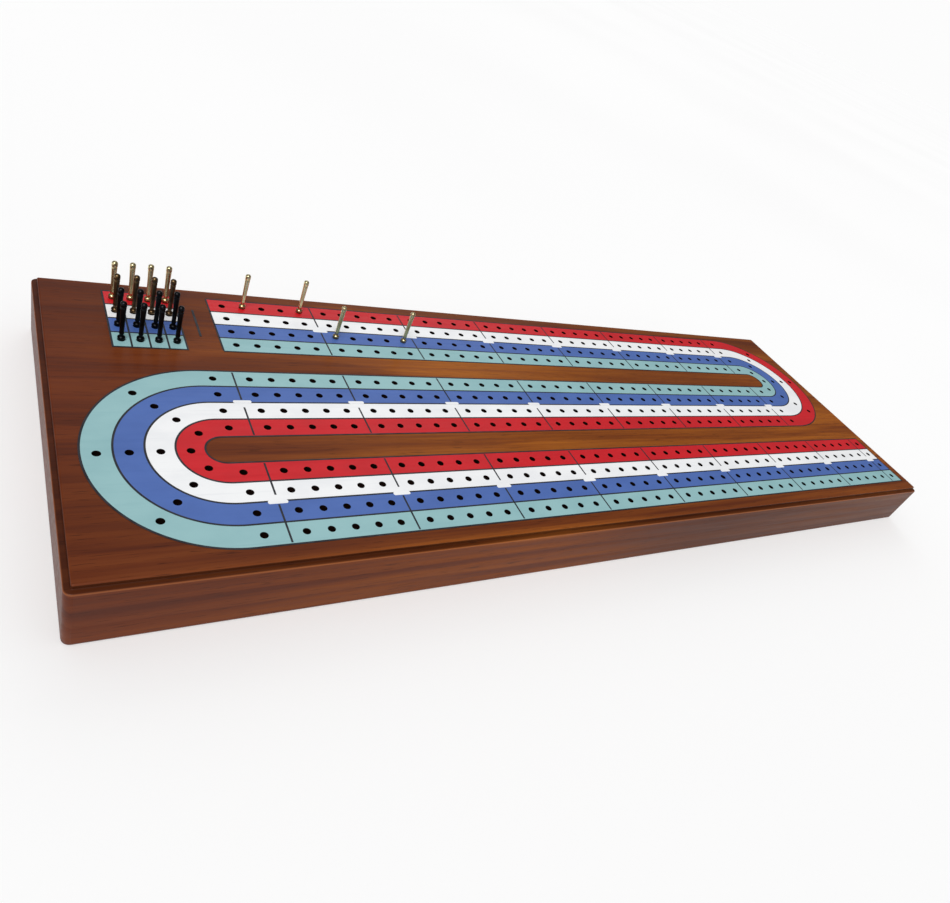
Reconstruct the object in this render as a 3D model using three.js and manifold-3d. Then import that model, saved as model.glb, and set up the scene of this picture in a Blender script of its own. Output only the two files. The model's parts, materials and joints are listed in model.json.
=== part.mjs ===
// A four-lane cribbage board: a solid wood board with 500 blind peg holes, a storage pocket in its
// underside for a deck of cards and the pegs, a sliding cover over the pocket, and 20 turned metal pegs.
// Millimetres, +Z up. +X runs along the length, from the parking block towards the finish.
// The origin is the middle of the rectangle that the board rests on.

import * as THREE from 'three';
import { mergeVertices } from 'three/addons/utils/BufferGeometryUtils.js';
import Module from 'manifold-3d';

// ---- Driving dimensions ----

const LANE = 8.5; // width of one coloured lane
const THICKNESS = 22.5; // underside to playing surface

// Track layout, all in proportion to the lane
const GROUP = 4.885 * LANE; // one group of five holes, from group line to group line
const HOLE_PITCH = 0.91 * LANE;
const TRACK_GAP = 1.4 * LANE; // bare wood between two straights
const TURN_SHIFT = 1.22 * LANE; // centre of a U-turn, past the last group line
const TURN_ENTRY = 0.85 * LANE; // first and last hole of a turn, past the last group line
const TURN_STEP = (50 * Math.PI) / 180; // angle between the three holes on the arc
const MARGIN = 0.65 * LANE; // bare wood outside the lanes
const FINISH_OFFSET = 0.5 * LANE; // finish hole, past the last group line
const HOLES_IN_GROUP = 5;
const STRAIGHT_GROUPS = 7; // first and second straights
const HOME_GROUPS = 8; // last straight

// Parking block: a 4 by 4 grid of holes beside the start
const PARK_FIRST = -3.9 * LANE; // first column, from the start line
const PARK_PITCH = 0.7 * LANE;

// Peg holes and pegs
const HOLE_RADIUS = 1.2;
const HOLE_DEPTH = 5;
const HOLE_SIDES = 5;
const PEG_SIDES = 6;
const PEG_HEIGHT = 15; // above the playing surface
const PEG_TIP = 4.6; // below the playing surface

// Edge: a small step runs round the playing surface
const STEP_WIDTH = 1.7;
const STEP_DEPTH = 1.6;

// Storage pocket in the underside
const POCKET_LENGTH = 103; // along X
const POCKET_WIDTH = 95.5; // along Y
const SKIN = 6; // wood left between the pocket and the playing surface
const DIVIDER = 5.2; // thickness of the strip between cards and pegs
const DIVIDER_LENGTH = 93; // from the pocket's right wall to the strip's free end
const PEG_SLOT = 17.3; // width of the space for the pegs
const LEDGE = 5; // what the cover overlaps round the pocket

// Sliding cover: a panel with dovetailed edges in an undercut channel
const CHANNEL_DEPTH = 3;
const COVER_THICKNESS = 2.4;
const DOVETAIL = 1.7; // how much the channel is wider at its ceiling than at its mouth
const THUMB_LENGTH = 22;
const THUMB_WIDTH = 5;
const THUMB_DEPTH = 1;
const THUMB_INSET = 12; // from the cover's outer end

const GAP = 0.3; // clearance between pieces that touch

// Deck of cards
const CARD_WIDTH = 63.5;
const CARD_LENGTH = 88.9;
const CARD_CORNER = 3.2;
const DECK_GAP = 6.5; // between the deck and the pocket's near wall
const DECK_END_GAP = 2.5; // between the deck and the pocket's right wall

// ---- Derived places ----

const LANES = ['red', 'white', 'blue', 'teal'];
const HALF_TRACK = TRACK_GAP / 2;
const TRACK_WIDTH = LANES.length * LANE;
const START_X = (-STRAIGHT_GROUPS * GROUP) / 2; // the start line
const END_X = -START_X; // the last group line of the first two straights
const LOOP_SPACING = TRACK_WIDTH + TRACK_GAP; // one straight to the next
const HOME_TURN_Y = -LOOP_SPACING / 2; // centre line of the left turn
const FAR_TURN_Y = LOOP_SPACING / 2; // centre line of the right turn
const TOP_LENGTH = 2 * (END_X + TURN_SHIFT + HALF_TRACK + TRACK_WIDTH + MARGIN);
const TOP_WIDTH = 3 * TRACK_WIDTH + 2 * TRACK_GAP + 2 * MARGIN;
const LENGTH = TOP_LENGTH + 2 * STEP_WIDTH;
const WIDTH = TOP_WIDTH + 2 * STEP_WIDTH;
const POCKET_TOP = THICKNESS - SKIN;

// ---- Solids ----

const wasm = await Module();
wasm.setup();

function solid(geometry) {
  const bare = geometry.clone();
  bare.deleteAttribute('normal');
  bare.deleteAttribute('uv');
  const merged = mergeVertices(bare, 1e-4);
  const mesh = new wasm.Mesh({
    numProp: 3,
    vertProperties: new Float32Array(merged.attributes.position.array),
    triVerts: new Uint32Array(merged.index.array),
  });
  return new wasm.Manifold(mesh);
}

function geometryOf(manifold) {
  const mesh = manifold.getMesh();
  const geometry = new THREE.BufferGeometry();
  geometry.setAttribute('position', new THREE.BufferAttribute(mesh.vertProperties, 3));
  geometry.setIndex(new THREE.BufferAttribute(mesh.triVerts, 1));
  geometry.computeVertexNormals();
  return geometry;
}

// A box given by its lowest and highest corners
function block(low, high) {
  const size = high.map((value, axis) => value - low[axis]);
  const middle = high.map((value, axis) => (value + low[axis]) / 2);
  return new THREE.BoxGeometry(...size).translate(...middle);
}

// A prism along Y whose section, in X and Z, is wider at its upper face
function dovetail(halfWidth, undercut, z0, z1, y0, y1) {
  const shape = new THREE.Shape();
  shape.moveTo(-halfWidth, z0);
  shape.lineTo(halfWidth, z0);
  shape.lineTo(halfWidth + undercut, z1);
  shape.lineTo(-halfWidth - undercut, z1);
  const prism = new THREE.ExtrudeGeometry(shape, { depth: y1 - y0, bevelEnabled: false });
  return prism.rotateX(Math.PI / 2).translate(0, y1, 0);
}

function roundedRectangle(length, width, radius) {
  const x = length / 2;
  const y = width / 2;
  const shape = new THREE.Shape();
  shape.absarc(x - radius, y - radius, radius, 0, Math.PI / 2);
  shape.absarc(-x + radius, y - radius, radius, Math.PI / 2, Math.PI);
  shape.absarc(-x + radius, -y + radius, radius, Math.PI, (3 * Math.PI) / 2);
  shape.absarc(x - radius, -y + radius, radius, (3 * Math.PI) / 2, 2 * Math.PI);
  return shape;
}

// ---- Hole positions ----

// Distance of a lane's middle from the centre of the left turn: red runs inside
const homeRadius = (lane) => HALF_TRACK + (lane + 0.5) * LANE;
// The right turn has the lanes in the other order: red runs outside
const farRadius = (lane) => HALF_TRACK + (LANES.length - lane - 0.5) * LANE;

function straight(groups, y) {
  const holes = [];
  for (let group = 0; group < groups; group++) {
    for (let hole = 0; hole < HOLES_IN_GROUP; hole++) {
      const offset = (hole - (HOLES_IN_GROUP - 1) / 2) * HOLE_PITCH;
      holes.push([START_X + (group + 0.5) * GROUP + offset, y]);
    }
  }
  return holes;
}

// side is +1 for the right turn and -1 for the left turn
function turn(side, centreY, radius) {
  const entryX = side * (END_X + TURN_ENTRY);
  const centreX = side * (END_X + TURN_SHIFT);
  const arc = [TURN_STEP, 0, -TURN_STEP].map((angle) => [
    centreX + side * radius * Math.cos(angle),
    centreY + radius * Math.sin(angle),
  ]);
  return [[entryX, centreY + radius], ...arc, [entryX, centreY - radius]];
}

function laneHoles(lane) {
  const finishX = START_X + HOME_GROUPS * GROUP + FINISH_OFFSET;
  return [
    ...straight(STRAIGHT_GROUPS, FAR_TURN_Y + farRadius(lane)),
    ...turn(1, FAR_TURN_Y, farRadius(lane)),
    ...straight(STRAIGHT_GROUPS, HOME_TURN_Y + homeRadius(lane)),
    ...turn(-1, HOME_TURN_Y, homeRadius(lane)),
    ...straight(HOME_GROUPS, HOME_TURN_Y - homeRadius(lane)),
    [finishX, HOME_TURN_Y - homeRadius(lane)],
  ];
}

// The parking holes lie in rows that continue the lanes of the first straight
function parkingHoles(lane) {
  const y = FAR_TURN_Y + farRadius(lane);
  return LANES.map((_, column) => [START_X + PARK_FIRST + column * PARK_PITCH, y]);
}

// ---- Board ----

// A cutter with flat sides that lie outside the round hole it stands for
function holeCutter([x, y]) {
  const radius = HOLE_RADIUS / Math.cos(Math.PI / HOLE_SIDES);
  const height = HOLE_DEPTH + 1;
  const cutter = new THREE.CylinderGeometry(radius, radius, height, HOLE_SIDES);
  return cutter.rotateX(Math.PI / 2).translate(x, y, THICKNESS - HOLE_DEPTH + height / 2);
}

function boardBody() {
  const past = 1; // how far a solid is carried past the one it joins or cuts
  const shoulder = THICKNESS - STEP_DEPTH;
  const lower = block([-LENGTH / 2, -WIDTH / 2, 0], [LENGTH / 2, WIDTH / 2, shoulder]);
  const upper = block([-TOP_LENGTH / 2, -TOP_WIDTH / 2, past], [TOP_LENGTH / 2, TOP_WIDTH / 2, THICKNESS]);
  const pocket = block(
    [-POCKET_LENGTH / 2, -POCKET_WIDTH / 2, past],
    [POCKET_LENGTH / 2, POCKET_WIDTH / 2, POCKET_TOP],
  );
  // The channel's section keeps its slope below the underside
  const slope = DOVETAIL / CHANNEL_DEPTH;
  const channel = dovetail(
    POCKET_LENGTH / 2 + LEDGE - slope * past,
    DOVETAIL + slope * past,
    -past,
    CHANNEL_DEPTH,
    -POCKET_WIDTH / 2 - LEDGE,
    WIDTH / 2 + past,
  );
  const centres = LANES.flatMap((_, lane) => [...laneHoles(lane), ...parkingHoles(lane)]);
  const holes = wasm.Manifold.union(centres.map((centre) => solid(holeCutter(centre))));
  const board = solid(lower).add(solid(upper));
  return geometryOf(board.subtract(solid(pocket)).subtract(solid(channel)).subtract(holes));
}

// ---- What is in the pocket, and its cover ----

function dividerStrip() {
  const x = POCKET_LENGTH / 2 - GAP;
  const y = POCKET_WIDTH / 2 - PEG_SLOT - DIVIDER;
  const left = x - DIVIDER_LENGTH;
  return block([left, y, CHANNEL_DEPTH + GAP], [x, y + DIVIDER, POCKET_TOP - GAP]);
}

function cardDeck() {
  const shape = roundedRectangle(CARD_LENGTH, CARD_WIDTH, CARD_CORNER);
  const depth = POCKET_TOP - CHANNEL_DEPTH - 2 * GAP;
  const deck = new THREE.ExtrudeGeometry(shape, { depth, bevelEnabled: false, curveSegments: 5 });
  const x = POCKET_LENGTH / 2 - DECK_END_GAP - CARD_LENGTH / 2;
  const y = -POCKET_WIDTH / 2 + DECK_GAP + CARD_WIDTH / 2;
  return deck.translate(x, y, CHANNEL_DEPTH + GAP);
}

function storageCover() {
  const slope = DOVETAIL / CHANNEL_DEPTH;
  const panel = dovetail(
    POCKET_LENGTH / 2 + LEDGE + slope * GAP - GAP,
    slope * COVER_THICKNESS,
    GAP,
    GAP + COVER_THICKNESS,
    -POCKET_WIDTH / 2 - LEDGE + GAP,
    WIDTH / 2 - GAP,
  );
  const thumbY = WIDTH / 2 - THUMB_INSET;
  const groove = block(
    [-THUMB_LENGTH / 2, thumbY - THUMB_WIDTH, 0],
    [THUMB_LENGTH / 2, thumbY, GAP + THUMB_DEPTH],
  );
  return geometryOf(solid(panel).subtract(solid(groove)));
}

// ---- Pegs ----

// Profile of a turned peg as [radius, height over the playing surface], from tip to head
const PEG_PROFILE = [
  [0, -PEG_TIP],
  [0.6, -PEG_TIP],
  [0.95, -PEG_TIP + 0.8],
  [0.95, 0],
  [1.3, 0.5],
  [1.2, 1.5],
  [0.8, 2.2],
  [1, PEG_HEIGHT - 3],
  [1.1, PEG_HEIGHT - 1.2],
  [0.7, PEG_HEIGHT],
  [0, PEG_HEIGHT],
];

function peg([x, y]) {
  const points = PEG_PROFILE.map(([radius, height]) => new THREE.Vector2(radius, height));
  const turned = new THREE.LatheGeometry(points, PEG_SIDES);
  const upright = turned.rotateX(Math.PI / 2).translate(x, y, THICKNESS);
  return geometryOf(solid(upright));
}

// ---- Materials ----

function finish(color, roughness, metalness = 0) {
  return new THREE.MeshStandardMaterial({ color, roughness, metalness });
}

const MAHOGANY = finish(0x6b3a24, 0.35);
const ORANGE_WOOD = finish(0x9a4a1c, 0.4);
const CARD_STOCK = finish(0x4f6fc4, 0.5);
const BRASS = finish(0xb5a878, 0.3, 1);
const BRONZE = finish(0x5e4a33, 0.35, 1);
const BLACK_METAL = finish(0x17181a, 0.3, 1);

// ---- Assembly ----

const cribbageBoard = new THREE.Group();

function place(name, geometry, material) {
  const mesh = new THREE.Mesh(geometry, material);
  mesh.name = name;
  cribbageBoard.add(mesh);
}

place('board_body', boardBody(), MAHOGANY);
place('divider_strip', dividerStrip(), ORANGE_WOOD);
place('storage_cover', storageCover(), ORANGE_WOOD);
place('card_deck', cardDeck(), CARD_STOCK);

// Sixteen pegs stand in the parking block, one row for each lane
const PARKED_FINISH = [BRASS, BRONZE, BLACK_METAL, BLACK_METAL];
LANES.forEach((colour, lane) => {
  parkingHoles(lane).forEach((centre, column) => {
    place(`peg_parked_${colour}_${column + 1}`, peg(centre), PARKED_FINISH[lane]);
  });
});

// Four pegs are in play: two in the red lane and two in the blue lane
const IN_PLAY = { red: [2, 5], blue: [6, 10] };
for (const [colour, holes] of Object.entries(IN_PLAY)) {
  const centres = laneHoles(LANES.indexOf(colour));
  holes.forEach((hole, index) => {
    place(`peg_play_${colour}_${index + 1}`, peg(centres[hole - 1]), BRASS);
  });
}

export default cribbageBoard;
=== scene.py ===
"""The looks of the cribbage board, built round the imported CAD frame. Everything is in metres."""

import json
import math
import random

import bmesh
import bpy
from mathutils import Matrix, Vector
from mathutils.geometry import delaunay_2d_cdt


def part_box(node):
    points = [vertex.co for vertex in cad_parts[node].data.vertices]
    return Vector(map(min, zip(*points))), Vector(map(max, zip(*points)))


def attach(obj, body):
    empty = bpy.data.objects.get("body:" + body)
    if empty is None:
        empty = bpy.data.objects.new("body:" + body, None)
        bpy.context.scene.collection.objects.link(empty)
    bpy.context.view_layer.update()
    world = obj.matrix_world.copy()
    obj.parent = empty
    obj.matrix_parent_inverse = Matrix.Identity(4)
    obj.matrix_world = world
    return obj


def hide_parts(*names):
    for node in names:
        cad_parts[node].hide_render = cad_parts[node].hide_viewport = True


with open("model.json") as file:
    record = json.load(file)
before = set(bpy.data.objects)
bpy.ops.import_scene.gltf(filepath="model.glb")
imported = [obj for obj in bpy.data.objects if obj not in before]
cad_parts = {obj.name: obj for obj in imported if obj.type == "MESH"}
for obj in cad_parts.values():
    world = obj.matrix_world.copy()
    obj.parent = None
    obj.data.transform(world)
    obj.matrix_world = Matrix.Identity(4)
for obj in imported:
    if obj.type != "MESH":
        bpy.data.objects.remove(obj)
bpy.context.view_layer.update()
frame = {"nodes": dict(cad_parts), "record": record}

MM = 0.001

# ---- Driving dimensions of the track, the same as in the CAD model ----

LANE = 8.5 * MM
GROUP = 4.885 * LANE
HOLE_PITCH = 0.91 * LANE
TRACK_GAP = 1.4 * LANE
TURN_SHIFT = 1.22 * LANE
TURN_ENTRY = 0.85 * LANE
TURN_STEP = math.radians(50)
FINISH_OFFSET = 0.5 * LANE
FINISH_END = 1.0 * LANE
HOLES_IN_GROUP = 5
STRAIGHT_GROUPS = 7
HOME_GROUPS = 8
PARK_FIRST = -3.9 * LANE
PARK_PITCH = 0.7 * LANE
HOLE_RADIUS = 1.2 * MM
HOLE_DEPTH = 5 * MM
STEP_WIDTH = 1.7 * MM
STEP_DEPTH = 1.6 * MM
POCKET_LENGTH = 103 * MM
POCKET_WIDTH = 95.5 * MM
CHANNEL_SLOPE = 1.7 / 3  # how much the channel widens for its depth
THUMB_GROOVE = (22 * MM, 5 * MM, 1 * MM)  # length, width, depth
THUMB_INSET = 12 * MM
GAP = 0.3 * MM

# ---- Places that follow from the frame ----

board_low, board_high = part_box("board_body")
TOP = board_high.z
LANES = ["red", "white", "blue", "teal"]
HALF_TRACK = TRACK_GAP / 2
TRACK_WIDTH = len(LANES) * LANE
START_X = -STRAIGHT_GROUPS * GROUP / 2
END_X = -START_X
FAR_Y = (TRACK_WIDTH + TRACK_GAP) / 2
HOME_Y = -FAR_Y
HOME_END_X = START_X + HOME_GROUPS * GROUP + FINISH_END
PARK_LEFT = START_X + PARK_FIRST - PARK_PITCH / 2
PARK_RIGHT = PARK_LEFT + len(LANES) * PARK_PITCH

# ---- Fine sizes that only the visual model has ----

POCKET_CORNER = 2.5 * MM
HOLE_SIDES = 20
HOLE_CHAMFER = 0.06 * MM
DRILL_POINT = 0.5 * MM  # height of the cone at a hole's bottom
ARC_STEPS = 64
PAINT = 0.06 * MM  # how far the painted lanes stand proud of the wood
LINE_PAINT = 0.09 * MM
TAB_PAINT = 0.11 * MM
PAINT_ROOT = 0.03 * MM  # how far the paint reaches into the wood
LINE_WIDTH = 0.62 * MM
START_BAR = (0.76 * LANE, 2 * LANE, 0.8 * MM)  # distance from the start line, length, width
TAB_LENGTH = 0.72 * LANE  # blank white tab where a group line crosses from white to blue
TAB_REACH = 0.13 * LANE  # how far the tab reaches into the blue lane
TAB_CLEAR = 0.3 * LANE  # where the group line stops short of the blue lane


# ---- Mesh helpers ----


def new_object(name, mesh, material, body, replaces=()):
    piece = bpy.data.objects.new(name, mesh)
    bpy.context.scene.collection.objects.link(piece)
    mesh.materials.append(material)
    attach(piece, body)
    if replaces:
        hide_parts(*replaces)
    return piece


def mesh_of(bm, name, smooth_below=None, flat_sides=False):
    """Ends a bmesh as a mesh. Edges flatter than smooth_below degrees are shaded smooth.
    flat_sides keeps the faces that lie square to an axis flat."""
    bmesh.ops.recalc_face_normals(bm, faces=bm.faces)
    if smooth_below:
        limit = math.radians(smooth_below)
        for face in bm.faces:
            square = max(abs(component) for component in face.normal) > 0.9999
            face.smooth = not (flat_sides and square)
        for edge in bm.edges:
            rounded = all(face.smooth for face in edge.link_faces)
            sharp = edge.calc_face_angle(math.pi) >= limit
            edge.smooth = rounded and not sharp
    mesh = bpy.data.meshes.new(name)
    bm.to_mesh(mesh)
    bm.free()
    return mesh


def fill(outline, holes=()):
    """Triangles that fill a flat outline round its holes, as (points, faces)."""
    points, edges, owner = [], [], []
    for index, loop in enumerate([outline, *holes]):
        first = len(points)
        points += [Vector(point) / MM for point in loop]
        edges += [(first + i, first + (i + 1) % len(loop)) for i in range(len(loop))]
        owner += [index] * len(loop)
    inside_outline = 1
    found, _, faces, origins, *_ = delaunay_2d_cdt(points, edges, [], inside_outline, 1e-5)
    loop_of = [owner[origin[0]] for origin in origins]
    # A hole is round, so a triangle with its corners on one hole's rim lies in that hole
    kept = [
        face
        for face in faces
        if not (loop_of[face[0]] and len({loop_of[corner] for corner in face}) == 1)
    ]
    return [point * MM for point in found], kept


def circle(centre, radius, sides=HOLE_SIDES):
    return [
        (
            centre[0] + radius * math.cos(2 * math.pi * i / sides),
            centre[1] + radius * math.sin(2 * math.pi * i / sides),
        )
        for i in range(sides)
    ]


def add_plate(bm, outline, holes, low, high):
    """A flat plate with straight walls between two heights, with holes right through."""
    points, faces = fill(outline, holes)
    upper = [bm.verts.new((p.x, p.y, high)) for p in points]
    lower = [bm.verts.new((p.x, p.y, low)) for p in points]
    edge_use = {}
    for face in faces:
        bm.faces.new([upper[i] for i in face])
        bm.faces.new([lower[i] for i in reversed(face)])
        for i, j in zip(face, face[1:] + face[:1]):
            edge_use[(i, j)] = True
    for i, j in edge_use:
        if (j, i) not in edge_use:
            bm.faces.new([upper[j], upper[i], lower[i], lower[j]])


def join_rings(bm, rings, close_first=True):
    """Skins a stack of rings of points that have the same number of points, and closes its ends."""
    rows = [[bm.verts.new(point) for point in ring] for ring in rings]
    for below, above in zip(rows, rows[1:]):
        for i in range(len(below)):
            j = (i + 1) % len(below)
            bm.faces.new([below[i], below[j], above[j], above[i]])
    if close_first:
        bm.faces.new(reversed(rows[0]))
    bm.faces.new(rows[-1])


def rounded_outline(half_x, half_y, radius, steps=6):
    points = []
    for corner in range(4):
        sx = 1 if corner in (0, 3) else -1
        sy = 1 if corner < 2 else -1
        for i in range(steps + 1):
            angle = math.pi / 2 * (corner + i / steps)
            x = sx * (half_x - radius) + radius * math.cos(angle)
            y = sy * (half_y - radius) + radius * math.sin(angle)
            points.append((x, y))
    return points


def cut(piece, cutter_bm, name):
    """Cuts a solid out of a piece for good."""
    bmesh.ops.recalc_face_normals(cutter_bm, faces=cutter_bm.faces)
    mesh = bpy.data.meshes.new(name)
    cutter_bm.to_mesh(mesh)
    cutter_bm.free()
    cutter = bpy.data.objects.new(name, mesh)
    bpy.context.scene.collection.objects.link(cutter)
    boolean = piece.modifiers.new(name, "BOOLEAN")
    boolean.operation = "DIFFERENCE"
    boolean.solver = "EXACT"
    boolean.object = cutter
    apply_modifiers(piece)
    bpy.data.objects.remove(cutter)


def apply_modifiers(piece):
    bpy.context.view_layer.update()
    evaluated = piece.evaluated_get(bpy.context.evaluated_depsgraph_get())
    mesh = bpy.data.meshes.new_from_object(evaluated)
    piece.modifiers.clear()
    piece.data = mesh


# ---- Material helpers ----


def rgb(code):
    """A colour given as a hex code, in linear light."""
    parts = [int(code[i : i + 2], 16) / 255 for i in (0, 2, 4)]
    linear = [p / 12.92 if p <= 0.04045 else ((p + 0.055) / 1.055) ** 2.4 for p in parts]
    return (*linear, 1)


class Nodes:
    """A material and short ways to add nodes to it."""

    def __init__(self, name):
        self.material = bpy.data.materials.new(name)
        self.material.use_nodes = True
        self.tree = self.material.node_tree
        self.shader = self.tree.nodes["Principled BSDF"]
        self.position = self.add("ShaderNodeTexCoord").outputs["Object"]

    def add(self, kind, sockets=None, **settings):
        node = self.tree.nodes.new(kind)
        for key, value in settings.items():
            setattr(node, key, value)
        for key, value in (sockets or {}).items():
            self.put(node.inputs[key], value)
        return node

    def put(self, socket, value):
        if isinstance(value, bpy.types.NodeSocket):
            self.tree.links.new(value, socket)
        else:
            socket.default_value = value

    def set(self, **sockets):
        """Sets the shader's sockets, such as coat_weight=0.3."""
        names = {s.name.lower().replace(" ", "_"): s for s in self.shader.inputs}
        for key, value in sockets.items():
            self.put(names[key], value)

    def math(self, operation, a, b=0.0, c=0.0):
        node = self.add("ShaderNodeMath", operation=operation)
        for socket, value in zip(node.inputs, (a, b, c)):
            self.put(socket, value)
        return node.outputs[0]

    def noise(self, scale, shift, detail=4, roughness=0.55, distortion=0.0):
        """Noise between 0 and 1. scale is how many times it varies in a metre, along X, Y and Z."""
        place = self.add(
            "ShaderNodeMapping", {"Vector": self.position, "Scale": scale, "Location": shift}
        )
        return self.add(
            "ShaderNodeTexNoise",
            {
                "Vector": place.outputs[0],
                "Scale": 1,
                "Detail": detail,
                "Roughness": roughness,
                "Distortion": distortion,
            },
        ).outputs["Fac"]

    def ramp(self, value, stops):
        """A colour ramp. stops are (place, colour) pairs."""
        node = self.add("ShaderNodeValToRGB", {"Fac": value})
        elements = node.color_ramp.elements
        for index, (place, colour) in enumerate(stops):
            element = elements[index] if index < 2 else elements.new(place)
            element.position = place
            element.color = colour
        return node.outputs["Color"]

    def between(self, value, low, high, to_low=0.0, to_high=1.0):
        """A smooth step from to_low, where the value is low, to to_high, where it is high."""
        return self.add(
            "ShaderNodeMapRange",
            {0: value, 1: low, 2: high, 3: to_low, 4: to_high},
            interpolation_type="SMOOTHSTEP",
        ).outputs[0]

    def mix(self, factor, a, b, blend="MIX"):
        node = self.add("ShaderNodeMix", data_type="RGBA", blend_type=blend)
        self.put(node.inputs[0], factor)
        self.put(node.inputs[6], a)
        self.put(node.inputs[7], b)
        return node.outputs[2]

    def bump(self, height, distance, strength, under=None):
        sockets = {"Height": height, "Distance": distance, "Strength": strength}
        if under:
            sockets["Normal"] = under
        return self.add("ShaderNodeBump", sockets).outputs[0]


# ---- Materials ----


def growth_rings(n, sideways, up, wander):
    """Growth rings round the tree's middle, which lies below the plank and runs along it."""
    middle_y, middle_z, spacing, wobble = 0.023, -0.09, 0.0046, 0.016
    y = n.math("SUBTRACT", sideways, middle_y)
    z = n.math("SUBTRACT", up, middle_z)
    distance = n.math("SQRT", n.math("MULTIPLY_ADD", y, y, n.math("MULTIPLY", z, z)))
    distance = n.math("MULTIPLY_ADD", wander, wobble, distance)
    within = n.math("FRACT", n.math("DIVIDE", distance, spacing))
    return n.math("SUBTRACT", n.between(within, 0, 0.12), n.between(within, 0.3, 1))


def wood(name, tones, seed, across=False, board=False, warm_tones=None):
    """Stained and varnished wood. tones are its dark, middle and light colours.
    across turns the grain along Y. board adds painted shade in the board's stepped edge, a painted
    highlight on the step's shoulder and painted shade on the side faces towards the right end, and
    warm_tones are the warmer colours that its stain turns to away from the left end."""
    n = Nodes(name)

    def grain(long, cross):
        return (cross, long, cross) if across else (long, cross, cross)

    shift = (seed * 3.1, seed * 1.7, seed * 2.3)
    streaks = n.noise(grain(4, 70), shift, 5, 0.62, 0.9)
    fibres = n.noise(grain(16, 560), shift, 4, 0.62)
    pores = n.noise(grain(120, 2600), shift, 2, 0.5)
    patches = n.noise(grain(5, 11), shift, 2)
    axes = n.add("ShaderNodeSeparateXYZ", {0: n.position}).outputs
    rings = growth_rings(n, axes[0] if across else axes[1], axes[2], n.noise(grain(2.5, 14), shift, 3))
    tone = n.math("MULTIPLY_ADD", fibres, 0.4, n.math("MULTIPLY", streaks, 0.5))
    tone = n.math("MULTIPLY_ADD", rings, 0.11, tone)
    places = (0.38, 0.54, 0.70)
    colour = n.ramp(tone, list(zip(places, tones)))
    if warm_tones:
        place = n.math("MULTIPLY_ADD", patches, 0.14, axes[0])
        near_rim = n.between(n.math("ABSOLUTE", axes[1]), 0.052, 0.066, 1, 0.55)
        factor = n.math("MULTIPLY", n.between(place, -0.14, 0.02), near_rim)
        colour = n.mix(factor, colour, n.ramp(tone, list(zip(places, warm_tones))))
    colour = n.mix(n.between(patches, 0.35, 0.7, 0, 0.4), colour, tones[0])
    pore = n.between(pores, 0.60, 0.72)
    colour = n.mix(n.math("MULTIPLY", pore, 0.5), colour, rgb("180805"))
    if board:
        soft = 0.12 * MM
        floor = TOP - STEP_DEPTH

        def band(low, high):
            rise = n.between(axes[2], low - soft, low + soft)
            return n.math("MULTIPLY", rise, n.between(axes[2], high - soft, high + soft, 1, 0))

        # Painted shade: the step under the top's edge is darkened, as if it lay in shadow.
        painted_step_shade = n.math("MULTIPLY", band(floor - 0.05 * MM, TOP - 0.4 * MM), 0.62)
        colour = n.mix(painted_step_shade, colour, rgb("170603"))
        # Painted highlight: a thin lighter band along the step's shoulder, where an edge would catch
        # the light.
        wear_and_highlight = n.math("MULTIPLY", band(floor - 0.5 * MM, floor - 0.1 * MM), 0.4)
        colour = n.mix(wear_and_highlight, colour, rgb("a8683f"))
        # Painted shade: the side faces below the step get darker towards the right end, as light
        # falling off.
        on_sides = n.between(axes[2], floor - 0.6 * MM, floor - 0.4 * MM, 0.55, 0)
        painted_shade_to_right = n.between(n.math("MULTIPLY_ADD", patches, 0.05, axes[0]), -0.05, 0.08)
        colour = n.mix(n.math("MULTIPLY", on_sides, painted_shade_to_right), colour, rgb("35150b"))
    n.set(
        base_color=colour,
        roughness=n.between(fibres, 0.3, 0.7, 0.38, 0.54),
        specular_ior_level=0.1,
        coat_weight=0.09,
        coat_roughness=0.18,
        normal=n.bump(pore, 0.03 * MM, -0.5, n.bump(fibres, 0.02 * MM, 0.6)),
    )
    return n.material


def lane_paint(name, colour, wear_and_highlight):
    """Satin paint over wood, with the grain just showing through."""
    n = Nodes(name)
    cloud = n.noise((60, 110, 60), (4, 1, 2), 3)
    grain = n.noise((26, 700, 60), (2, 7, 1), 4)
    tone = n.mix(n.between(cloud, 0.3, 0.75, 0, 0.5), colour, wear_and_highlight)
    tone = n.mix(n.between(grain, 0.56, 0.8, 0, 0.5), tone, wear_and_highlight)
    n.set(
        base_color=tone,
        roughness=n.between(grain, 0.3, 0.7, 0.38, 0.52),
        specular_ior_level=0.3,
        coat_weight=0.12,
        coat_roughness=0.2,
        normal=n.bump(grain, 0.02 * MM, 0.6),
    )
    return n.material


def line_paint():
    n = Nodes("track_line_paint")
    cloud = n.noise((300, 300, 300), (1, 2, 3), 3)
    n.set(
        base_color=n.mix(n.between(cloud, 0.3, 0.7), rgb("151820"), rgb("2a2c33")),
        roughness=0.5,
    )
    return n.material


def turned_metal(name, bright, dull, roughness):
    """Metal turned on a lathe: fine rings, and a duller tone in patches."""
    n = Nodes(name)
    rings = n.noise((60, 60, 6000), (1, 1, 1), 2)
    patches = n.noise((260, 260, 160), (3, 5, 1), 3)
    n.set(
        base_color=n.mix(n.between(patches, 0.35, 0.7), bright, dull),
        metallic=1.0,
        roughness=n.between(rings, 0.3, 0.7, roughness - 0.05, roughness + 0.1),
        normal=n.bump(rings, 0.01 * MM, 0.5),
    )
    return n.material


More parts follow.
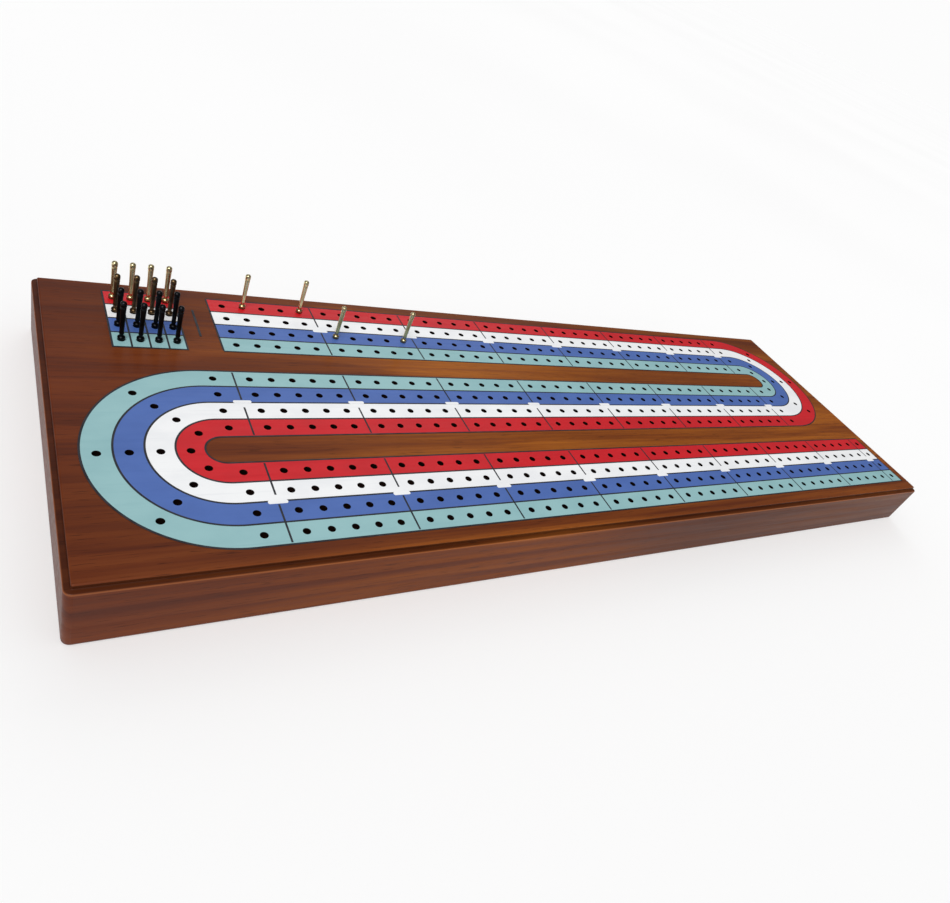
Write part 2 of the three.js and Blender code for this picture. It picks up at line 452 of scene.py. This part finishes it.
def card_back(centre, half_width, half_length):
    """White card with a generic blue back: a frame, a fine lattice and a round rosette."""
    n = Nodes("card_back")
    local = n.add(
        "ShaderNodeVectorMath",
        {0: n.position, 1: (centre.x, centre.y, centre.z)},
        operation="SUBTRACT",
    ).outputs[0]
    axes = n.add("ShaderNodeSeparateXYZ", {0: local}).outputs
    x = n.math("DIVIDE", axes[0], MM)
    y = n.math("DIVIDE", axes[1], MM)
    border, frame_width = 5.8, 8.4
    from_side = n.math("SUBTRACT", half_width / MM - border, n.math("ABSOLUTE", x))
    from_end = n.math("SUBTRACT", half_length / MM - border, n.math("ABSOLUTE", y))
    inside = n.math("MINIMUM", from_side, from_end)
    radius = n.math("SQRT", n.math("MULTIPLY_ADD", x, x, n.math("MULTIPLY", y, y)))
    angle = n.math("ARCTAN2", y, x)

    def wave(value, rate, phase=0.0):
        return n.math("SINE", n.math("MULTIPLY_ADD", value, rate, phase))

    diagonal = n.math("ADD", x, y)
    counter = n.math("SUBTRACT", x, y)
    lattice = n.math("MULTIPLY", wave(diagonal, 1.5), wave(counter, 1.5))
    curls = n.math("MULTIPLY", wave(x, 0.82, 0.8), wave(y, 0.82))
    filigree = n.math("MULTIPLY_ADD", curls, 0.7, lattice)
    petals = n.math("MULTIPLY", wave(angle, 12), wave(radius, 1.9))

    pale, deep, mid = rgb("c4cfe2"), rgb("3f66c2"), rgb("8aa6da")
    field = n.mix(n.between(filigree, -0.2, 0.5), pale, mid)
    field = n.mix(n.between(filigree, 0.55, 0.9), field, rgb("dbe3f0"))
    band = n.mix(n.between(filigree, 0.1, 0.5), deep, rgb("5a84d2"))
    band = n.mix(n.between(filigree, 0.6, 0.9), band, rgb("a9c0ee"))
    colour = n.mix(n.between(inside, frame_width + 0.2, frame_width + 2.0), band, field)
    rim = n.math("ABSOLUTE", n.math("SUBTRACT", inside, frame_width))
    colour = n.mix(n.between(rim, 0.15, 0.35, 1, 0), colour, rgb("dfe8f8"))
    rosette = n.mix(n.between(petals, -0.1, 0.3), deep, rgb("88a6e2"))
    colour = n.mix(n.between(radius, 9.3, 9.6, 1, 0), colour, rosette)
    ring = n.math("ABSOLUTE", n.math("SUBTRACT", radius, 9.9))
    colour = n.mix(n.between(ring, 0.2, 0.4, 1, 0), colour, rgb("eef2fb"))
    hub = n.math("ABSOLUTE", n.math("SUBTRACT", radius, 4.1))
    colour = n.mix(n.between(hub, 0.25, 0.45, 1, 0), colour, rgb("dfe8f8"))
    white = rgb("f4f5f6")
    colour = n.mix(n.between(inside, -0.08, 0.08), white, colour)
    facing = n.add("ShaderNodeNewGeometry").outputs["Normal"]
    down = n.add("ShaderNodeSeparateXYZ", {0: facing}).outputs[2]
    on_back = n.between(down, -0.7, -0.5, 1, 0)
    layers = n.noise((30, 30, 5200), (0, 0, 0), 2)
    edge = n.mix(n.between(layers, 0.35, 0.65), rgb("c9c8c4"), rgb("f1f0ec"))
    n.set(
        base_color=n.mix(on_back, edge, colour),
        roughness=n.between(layers, 0.3, 0.7, 0.38, 0.48),
        coat_weight=0.15,
        coat_roughness=0.25,
    )
    return n.material


MAHOGANY = wood(
    "mahogany",
    (rgb("502211"), rgb("672e13"), rgb("773a1a")),
    seed=1,
    board=True,
    warm_tones=(rgb("692f0b"), rgb("8c4a10"), rgb("a96119")),
)
# Near-black wood for the walls and bottoms of the peg holes: painted shade inside the holes.
HOLE_SHADE_WOOD = wood("drilled_wood", (rgb("0e0604"), rgb("160a06"), rgb("1f0f09")), seed=2)
ORANGE_WOOD = wood(
    "orange_wood", (rgb("6d2a06"), rgb("934206"), rgb("b4640f")), seed=4, across=True
)
# Painted light: the divider's wood is lighter than the underside wood so that it stays as bright as
# the wood round it in the pocket's shade.
LIGHTENED_STRIP_WOOD = wood("strip_wood", (rgb("8a3c0a"), rgb("ae520a"), rgb("c66c18")), seed=9)
UNDER_WOOD = wood("under_wood", (rgb("843a0a"), rgb("a44f0a"), rgb("bc681a")), seed=1)
LANE_PAINTS = {
    "red": lane_paint("red_paint", rgb("cb101e"), rgb("b20e1b")),
    "white": lane_paint("white_paint", rgb("f2f3f4"), rgb("e0e2e6")),
    "blue": lane_paint("blue_paint", rgb("4c6bb0"), rgb("405d9e")),
    "teal": lane_paint("teal_paint", rgb("93bcbf"), rgb("82adb2")),
}
LINE_PAINT_MATERIAL = line_paint()
METALS = {
    "peg_brass": turned_metal("brass", rgb("e6d8aa"), rgb("b3a172"), 0.27),
    "peg_bronze": turned_metal("bronze", rgb("80684a"), rgb("3c2b1c"), 0.32),
    "peg_black": turned_metal("black_metal", rgb("2b2c2f"), rgb("141416"), 0.32),
}


# ---- Hole positions ----


def home_radius(lane):
    return HALF_TRACK + (lane + 0.5) * LANE


def far_radius(lane):
    return HALF_TRACK + (len(LANES) - lane - 0.5) * LANE


def straight_holes(groups, y):
    middle = (HOLES_IN_GROUP - 1) / 2
    return [
        (START_X + (group + 0.5) * GROUP + (hole - middle) * HOLE_PITCH, y)
        for group in range(groups)
        for hole in range(HOLES_IN_GROUP)
    ]


def turn_holes(side, centre_y, radius):
    entry = side * (END_X + TURN_ENTRY)
    centre = side * (END_X + TURN_SHIFT)
    on_arc = [
        (centre + side * radius * math.cos(angle), centre_y + radius * math.sin(angle))
        for angle in (TURN_STEP, 0, -TURN_STEP)
    ]
    return [(entry, centre_y + radius), *on_arc, (entry, centre_y - radius)]


def lane_holes(lane):
    far, home = far_radius(lane), home_radius(lane)
    return (
        straight_holes(STRAIGHT_GROUPS, FAR_Y + far)
        + turn_holes(1, FAR_Y, far)
        + straight_holes(STRAIGHT_GROUPS, HOME_Y + home)
        + turn_holes(-1, HOME_Y, home)
        + straight_holes(HOME_GROUPS, HOME_Y - home)
        + [(START_X + HOME_GROUPS * GROUP + FINISH_OFFSET, HOME_Y - home)]
    )


def parking_holes(lane):
    y = FAR_Y + far_radius(lane)
    return [(START_X + PARK_FIRST + i * PARK_PITCH, y) for i in range(len(LANES))]


# ---- Painted lanes and lines ----


def arc(centre, radius, start, end):
    steps = range(ARC_STEPS + 1)
    angles = [math.radians(start + (end - start) * i / ARC_STEPS) for i in steps]
    return [
        (centre[0] + radius * math.cos(a), centre[1] + radius * math.sin(a)) for a in angles
    ]


def serpentine(k):
    """The line that runs k lanes from the track's red side, from the start to the finish."""
    home = HALF_TRACK + k * LANE
    far = HALF_TRACK + (len(LANES) - k) * LANE
    turn_x = END_X + TURN_SHIFT
    return [
        (START_X, FAR_Y + far),
        *arc((turn_x, FAR_Y), far, 90, -90),
        *arc((-turn_x, HOME_Y), home, 90, 270),
        (HOME_END_X, HOME_Y - home),
    ]


def rectangle(x0, y0, x1, y1):
    return [(x0, y0), (x1, y0), (x1, y1), (x0, y1)]


def lane_skin(lane, colour):
    inset = LINE_WIDTH / 2 / LANE
    outline = serpentine(lane + inset) + serpentine(lane + 1 - inset)[::-1]
    radius = HOLE_RADIUS + HOLE_CHAMFER
    bm = bmesh.new()
    low, high = TOP - PAINT_ROOT, TOP + PAINT
    holes = [circle(centre, radius) for centre in lane_holes(lane)]
    add_plate(bm, outline, holes, low, high)
    for x, y in parking_holes(lane):
        half_x = (PARK_PITCH - LINE_WIDTH) / 2
        half_y = (LANE - LINE_WIDTH) / 2
        square = rectangle(x - half_x, y - half_y, x + half_x, y + half_y)
        add_plate(bm, square, [circle((x, y), radius)], low, high)
    mesh = mesh_of(bm, f"lane_{colour}")
    new_object(f"lane_{colour}", mesh, LANE_PAINTS[colour], "board")


def group_lines():
    """Each line between two groups, as (x, the track's middle, the side of it that is blue)."""
    found = []
    for start, groups, middle, blue_side in (
        (1, STRAIGHT_GROUPS, FAR_Y + HALF_TRACK + TRACK_WIDTH / 2, -1),
        (0, STRAIGHT_GROUPS, FAR_Y - HALF_TRACK - TRACK_WIDTH / 2, 1),
        (0, HOME_GROUPS, HOME_Y - HALF_TRACK - TRACK_WIDTH / 2, -1),
    ):
        for group in range(start, groups + 1):
            found.append((START_X + group * GROUP, middle, blue_side))
    return found


def group_tabs():
    """Blank tabs on the group lines, where the white lane reaches a little into the blue one."""
    bm = bmesh.new()
    for x, middle, blue_side in group_lines():
        far = middle + blue_side * TAB_REACH
        near = middle - blue_side * LINE_WIDTH / 2
        half_y = abs(far - near) / 2
        corner = rounded_outline(TAB_LENGTH / 2, half_y, 0.8 * half_y)
        outline = [(x + px, (far + near) / 2 + py) for px, py in corner]
        add_plate(bm, outline, [], TOP + PAINT / 2, TOP + TAB_PAINT)
    mesh = mesh_of(bm, "group_tabs")
    new_object("group_tabs", mesh, LANE_PAINTS["white"], "board")


def track_lines():
    bm = bmesh.new()
    low, high = TOP - PAINT_ROOT, TOP + LINE_PAINT
    half = LINE_WIDTH / 2

    def ribbon(k):
        shift = half / LANE
        add_plate(bm, serpentine(k - shift) + serpentine(k + shift)[::-1], [], low, high)

    def bar(x, y0, y1, width=LINE_WIDTH):
        add_plate(bm, rectangle(x - width / 2, y0, x + width / 2, y1), [], low, high)

    lines = len(LANES) + 1
    for k in range(lines):
        ribbon(k)
    inner, outer = HALF_TRACK + half, HALF_TRACK + TRACK_WIDTH - half
    for x, middle, blue_side in group_lines():
        for side in (1, -1):
            end = middle + side * (TRACK_WIDTH / 2 - half)
            start = middle + side * (TAB_REACH + half if side == blue_side else TAB_CLEAR)
            split = middle + side * LANE
            low_y, high_y = sorted((start, split - side * half))
            bar(x, low_y, high_y)
            low_y, high_y = sorted((split + side * half, end - side * half))
            bar(x, low_y, high_y)
    bar(START_X, FAR_Y + inner, FAR_Y + outer)
    bar(HOME_END_X + half, HOME_Y - outer - LINE_WIDTH, HOME_Y - inner + LINE_WIDTH)
    y0, y1 = FAR_Y + inner - half, FAR_Y + outer + half
    for i in range(len(LANES) + 1):
        bar(PARK_LEFT + i * PARK_PITCH, y0 - half, y1 + half)
    for lane in range(len(LANES) + 1):
        y = y0 + lane * LANE
        for i in range(len(LANES)):
            x0 = PARK_LEFT + i * PARK_PITCH + half
            x1 = x0 + PARK_PITCH - LINE_WIDTH
            add_plate(bm, rectangle(x0, y - half, x1, y + half), [], low, high)
    back, length, width = START_BAR
    bar(START_X - back, (y0 + y1 - length) / 2, (y0 + y1 + length) / 2, width)
    mesh = mesh_of(bm, "track_lines")
    new_object("track_lines", mesh, LINE_PAINT_MATERIAL, "board")


# ---- Board ----


def edge_profile():
    """The board's edge as (distance in from the side face, height), from the top down."""
    lip, shoulder, foot = 0.5 * MM, 0.4 * MM, 0.8 * MM
    floor = TOP - STEP_DEPTH

    def quarter(centre, radius, start, steps=4):
        return [
            (
                centre[0] - radius * math.sin(math.radians(start + 90 * i / steps)),
                centre[1] + radius * math.cos(math.radians(start + 90 * i / steps)),
            )
            for i in range(steps + 1)
        ]

    profile = quarter((STEP_WIDTH + lip, TOP - lip), lip, 0)
    profile += [(STEP_WIDTH, floor + 0.2 * MM), (STEP_WIDTH - 0.2 * MM, floor)]
    profile += quarter((shoulder, floor - shoulder), shoulder, 0)
    profile += quarter((foot, foot), foot, 90)
    return profile


def on_side(point):
    """Whether a point lies near the board's outer faces, seen from above."""
    inset = 2 * STEP_WIDTH
    return abs(point.x) > board_high.x - inset or abs(point.y) > board_high.y - inset


def board():
    half_x, half_y = board_high.x, board_high.y
    corner, sharpest = 2.2 * MM, 0.4 * MM

    def ring(inset, z):
        radius = max(corner - inset, sharpest)
        outline = rounded_outline(half_x - inset, half_y - inset, radius)
        return [(x, y, z) for x, y in outline]

    bm = bmesh.new()
    profile = edge_profile()
    join_rings(bm, [ring(inset, z) for inset, z in profile])
    mesh = mesh_of(bm, "board")
    piece = new_object("board", mesh, MAHOGANY, "board", ["board_body"])
    cut(piece, pocket_cutter(), "pocket_cutter")
    cut(piece, channel_cutter(), "channel_cutter")

    bm = bmesh.new()
    bm.from_mesh(piece.data)
    hair = 1e-6
    cap = [face for face in bm.faces if min(vert.co.z for vert in face.verts) > TOP - hair]
    bmesh.ops.delete(bm, geom=cap, context="FACES")
    centres = [c for lane in range(len(LANES)) for c in lane_holes(lane) + parking_holes(lane)]
    mouth = HOLE_RADIUS + HOLE_CHAMFER
    outline = [(x, y) for x, y, _ in ring(*profile[0])]
    points, faces = fill(outline, [circle(centre, mouth) for centre in centres])
    verts = [bm.verts.new((p.x, p.y, TOP)) for p in points]
    for face in faces:
        bm.faces.new([verts[i] for i in face])
    outside = set(bm.faces)
    for centre in centres:
        levels = [
            (mouth, TOP),
            (HOLE_RADIUS, TOP - HOLE_CHAMFER),
            (HOLE_RADIUS, TOP - HOLE_DEPTH + DRILL_POINT),
            (0.1 * MM, TOP - HOLE_DEPTH),
        ]
        rings = [[(x, y, z) for x, y in circle(centre, radius)] for radius, z in levels]
        join_rings(bm, rings, close_first=False)
    pocket_ceiling = pocket_size().z
    for face in bm.faces:
        middle = face.calc_center_median()
        under = middle.z < pocket_ceiling + MM and not on_side(middle)
        # The hole faces take the near-black painted shade material; the underside round the pocket
        # takes the underside wood.
        face.material_index = 1 if face not in outside else 2 if under else 0
    bmesh.ops.remove_doubles(bm, verts=bm.verts, dist=2 * hair)
    piece.data = mesh_of(bm, "board", smooth_below=40, flat_sides=True)
    piece.data.materials.append(MAHOGANY)
    piece.data.materials.append(HOLE_SHADE_WOOD)
    piece.data.materials.append(UNDER_WOOD)


def pocket_size():
    """Half the pocket's length and width, and its height. The divider strip nearly fills it."""
    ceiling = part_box("divider_strip")[1].z + GAP
    return Vector((POCKET_LENGTH / 2, POCKET_WIDTH / 2, ceiling))


def pocket_cutter():
    half_x, half_y, ceiling = pocket_size()
    bm = bmesh.new()
    outline = rounded_outline(half_x, half_y, POCKET_CORNER)
    join_rings(bm, [[(x, y, z) for x, y in outline] for z in (1 * MM, ceiling)])
    return bm


def channel_cutter():
    """The undercut channel that the cover slides in, open at the far side of the board."""
    cover_low, cover_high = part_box("storage_cover")
    ceiling = cover_high.z + GAP
    wide = cover_high.x + GAP
    past = 1 * MM
    narrow = wide - CHANNEL_SLOPE * (ceiling + past)
    section = [(-narrow, -past), (narrow, -past), (wide, ceiling), (-wide, ceiling)]
    near, far = cover_low.y - GAP, board_high.y + past
    bm = bmesh.new()
    join_rings(bm, [[(x, y, z) for x, z in section] for y in (near, far)])
    return bm


# ---- Cover, divider and cards ----


def bevelled(name, bm, width, material, body, replaces, segments=3):
    piece = new_object(name, mesh_of(bm, name), material, body, replaces)
    bevel = piece.modifiers.new("edges", "BEVEL")
    bevel.width = width
    bevel.segments = segments
    bevel.limit_method = "ANGLE"
    bevel.harden_normals = False
    apply_modifiers(piece)
    for polygon in piece.data.polygons:
        polygon.use_smooth = False
    return piece


def storage_cover():
    low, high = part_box("storage_cover")
    wide = high.x
    narrow = wide - CHANNEL_SLOPE * (high.z - low.z)
    section = [(-narrow, low.z), (narrow, low.z), (wide, high.z), (-wide, high.z)]
    bm = bmesh.new()
    join_rings(bm, [[(x, y, z) for x, z in section] for y in (low.y, high.y)])
    piece = bevelled(
        "cover", bm, 0.35 * MM, ORANGE_WOOD, "cover", ["storage_cover"]
    )
    groove = bmesh.new()
    length, width, depth = THUMB_GROOVE
    y = board_high.y - THUMB_INSET - width / 2
    slant = 0.9 * MM

    def ring(inset, z):
        radius = (width / 2 - inset) * 0.99
        outline = rounded_outline(length / 2 - inset, width / 2 - inset, radius, 10)
        return [(px, py + y, z) for px, py in outline]

    join_rings(groove, [ring(0, low.z - depth), ring(0, low.z), ring(slant, low.z + depth)])
    cut(piece, groove, "thumb_groove")


def divider():
    low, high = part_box("divider_strip")
    bm = bmesh.new()
    corners = [(low.x, low.y), (high.x, low.y), (high.x, high.y), (low.x, high.y)]
    join_rings(bm, [[(x, y, z) for x, y in corners] for z in (low.z, high.z)])
    bevelled(
        "divider", bm, 0.4 * MM, LIGHTENED_STRIP_WOOD, "board", ["divider_strip"]
    )


def deck():
    low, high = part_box("card_deck")
    middle = (low + high) / 2
    half_x, half_y = (high.x - low.x) / 2, (high.y - low.y) / 2
    cards, card_corner, card_part = 54, 3.2 * MM, 0.86  # the rest of each card's pitch is air
    pitch = (high.z - low.z) / cards
    draw = random.Random(11)
    most_turn, most_shift, slack = math.radians(0.12), 0.2, 0.35 * MM
    bm = bmesh.new()
    outline = rounded_outline(half_x - slack, half_y - slack, card_corner)
    for card in range(cards):
        turn = Matrix.Rotation(draw.uniform(-most_turn, most_turn), 2)
        along, across = draw.uniform(-most_shift, most_shift), draw.uniform(-most_shift, most_shift)
        shift = Vector((along, across)) * MM
        z = low.z + card * pitch
        flat = [turn @ Vector(point) + shift for point in outline]
        rings = [
            [(p.x + middle.x, p.y + middle.y, height) for p in flat]
            for height in (z, z + pitch * card_part)
        ]
        join_rings(bm, rings)
    mesh = mesh_of(bm, "deck", smooth_below=30)
    material = card_back(middle, half_x, half_y)
    new_object("deck", mesh, material, "board", ["card_deck"])


# ---- Pegs ----


def smooth_profile(height, tip):
    """A turned peg as (radius, height over the playing surface) points, from tip to head."""
    bead = [
        (1.3 * math.cos(math.radians(a)), 0.95 + 0.85 * math.sin(math.radians(a)))
        for a in range(-60, 61, 15)
    ]
    head = [
        (1.02 * math.cos(math.radians(a)), height - 0.8 + 0.8 * math.sin(math.radians(a)))
        for a in range(0, 90, 15)
    ]
    return [
        (0.0, -tip),
        (0.55, -tip),
        (0.75, -tip + 0.15),
        (1.0, -tip + 0.9),
        (1.0, -0.15),
        (0.95, 0.1),
        *bead,
        (0.7, 1.95),
        (0.7, 2.3),
        (0.84, 2.6),
        (0.84, 2.9),
        (0.76, 3.3),
        (0.8, height * 0.5),
        (0.93, height - 2.9),
        (0.97, height - 2.7),
        (0.97, height - 2.45),
        (0.84, height - 2.3),
        (0.84, height - 2.1),
        (1.02, height - 1.9),
        *head,
        (0.0, height),
    ]


def peg_mesh(name, height, tip, sides=28):
    bm = bmesh.new()
    profile = smooth_profile(height, tip)
    rings = []
    for radius, z in profile[1:-1]:
        ring = circle((0, 0), radius * MM, sides)
        rings.append([(x, y, z * MM) for x, y in ring])
    join_rings(bm, rings)
    return mesh_of(bm, name, smooth_below=50)


def pegs():
    slots = {part["node"]: part["material_slot"] for part in frame["record"]["subparts"]}
    names = sorted(node for node in frame["nodes"] if node.startswith("peg_"))
    low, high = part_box(names[0])
    height, tip = (high.z - TOP) / MM, (TOP - low.z) / MM
    meshes = {}
    for slot, metal in METALS.items():
        meshes[slot] = peg_mesh(slot, height, tip)
        meshes[slot].materials.append(metal)
    draw = random.Random(5)
    for name in names:
        low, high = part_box(name)
        slot = slots[name]
        piece = bpy.data.objects.new(name.replace("peg_", "turned_peg_"), meshes[slot])
        bpy.context.scene.collection.objects.link(piece)
        x, y = (low.x + high.x) / 2, (low.y + high.y) / 2
        piece.location = (x, y, TOP)
        lean = math.radians(0.7)
        piece.rotation_euler = (draw.uniform(-lean, lean), draw.uniform(-lean, lean), 0)
        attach(piece, f"{name}_body")
        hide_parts(name)


# ---- Stage, lights and camera ----


def stage():
    n = Nodes("floor")
    cloud = n.noise((1.5, 1.5, 1.5), (0, 0, 0), 1)
    n.set(
        base_color=n.mix(n.between(cloud, 0.3, 0.7), rgb("fafafa"), rgb("f8f8f8")),
        roughness=0.8,
        specular_ior_level=0,
    )
    size = 40
    bm = bmesh.new()
    corners = [(-size, -size), (size, -size), (size, size), (-size, size)]
    bm.faces.new([bm.verts.new((x, y, 0)) for x, y in corners])
    mesh = mesh_of(bm, "floor")
    mesh.materials.append(n.material)
    floor = bpy.data.objects.new("floor", mesh)
    bpy.context.scene.collection.objects.link(floor)


def lamp(kind, name, place, target=(0, 0, 0), **settings):
    light = bpy.data.lights.new(name, kind)
    for key, value in settings.items():
        setattr(light, key, value)
    piece = bpy.data.objects.new(name, light)
    bpy.context.scene.collection.objects.link(piece)
    piece.location = place
    direction = Vector(target) - Vector(place)
    piece.rotation_euler = direction.to_track_quat("-Z", "Y").to_euler()


ROOM_LIGHT = 0.41  # how brightly the room lights the object
ROOM_GLOSS = 0.15  # how bright it looks in glossy reflections
BACKDROP = 0.975  # how bright it looks behind the object


def lights():
    """Even light from a pale room, a soft key from the near left and a low light behind."""
    scene = bpy.context.scene
    scene.view_settings.view_transform = "Standard"
    world = bpy.data.worlds.new("studio")
    scene.world = world
    world.use_nodes = True
    nodes, links = world.node_tree.nodes, world.node_tree.links
    nodes["Background"].inputs["Color"].default_value = (1, 1, 1, 1)
    ray = nodes.new("ShaderNodeLightPath").outputs
    shade = nodes["Background"].outputs[0]
    nodes["Background"].inputs["Strength"].default_value = ROOM_LIGHT
    for kind, strength in (("Is Glossy Ray", ROOM_GLOSS), ("Is Camera Ray", BACKDROP)):
        background = nodes.new("ShaderNodeBackground")
        background.inputs["Color"].default_value = (1, 1, 1, 1)
        background.inputs["Strength"].default_value = strength
        blend = nodes.new("ShaderNodeMixShader")
        links.new(ray[kind], blend.inputs[0])
        links.new(shade, blend.inputs[1])
        links.new(background.outputs[0], blend.inputs[2])
        shade = blend.outputs[0]
    links.new(shade, nodes["World Output"].inputs["Surface"])
    lamp("SUN", "key", (-0.45, -0.6, 1.1), energy=2.2, angle=math.radians(35))
    lamp("SUN", "back", (0.35, 0.9, 0.6), energy=0.25, angle=math.radians(40))


# The camera stands off the near left corner, close to the board. Places are from the board's middle.
CAMERA_PLACE = Vector((-0.215, -0.190, 0.157))
CAMERA_TARGET = Vector((-0.0574, -0.019, -0.0085))
CAMERA_ROLL = 26.0
CAMERA_LENS = 27.4


def camera():
    """The picture's viewing angle: from the near left, turned until the lanes run level."""
    view = bpy.data.cameras.new("camera")
    eye = bpy.data.objects.new("camera", view)
    bpy.context.scene.collection.objects.link(eye)
    top = Vector((0, 0, TOP))
    eye.location = top + CAMERA_PLACE
    forward = CAMERA_TARGET - CAMERA_PLACE
    roll = Matrix.Rotation(math.radians(CAMERA_ROLL), 3, "Z")
    turn = forward.to_track_quat("-Z", "Y").to_matrix() @ roll
    eye.rotation_euler = turn.to_euler()
    view.sensor_width = 36
    view.lens = CAMERA_LENS
    view.clip_start = 0.01
    bpy.context.scene.camera = eye


board()
for index, colour in enumerate(LANES):
    lane_skin(index, colour)
track_lines()
group_tabs()
storage_cover()
divider()
deck()
pegs()
stage()
lights()
camera()
